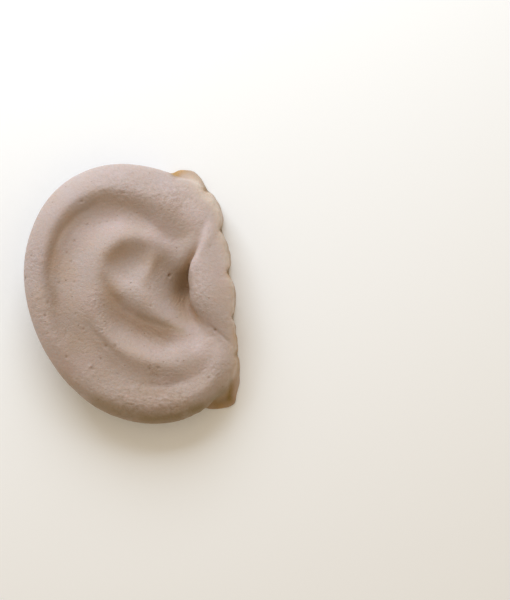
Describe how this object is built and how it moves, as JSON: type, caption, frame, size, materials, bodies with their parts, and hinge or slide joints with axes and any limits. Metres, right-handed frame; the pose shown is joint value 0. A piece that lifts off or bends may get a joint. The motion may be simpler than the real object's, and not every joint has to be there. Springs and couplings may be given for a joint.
{
  "type": "prosthetic ear",
  "caption": "Hollow slip-on foam latex ear with a rolled helix, deep concha and thin torn glue edge, worn over a person's own ear to change its shape.",
  "frame": {"origin": "under the middle of the ear, on the plane of its open back", "axes": "+X to the wearer's face, +Y to the top of the ear, +Z away from the head"},
  "size_m": [0.0692, 0.0838, 0.0205],
  "materials": {
    "foam_latex": "matte, fine pores, flesh colour"
  },
  "bodies": {
    "root": {"ear_shell": "foam_latex"}
  },
  "joints": []
}
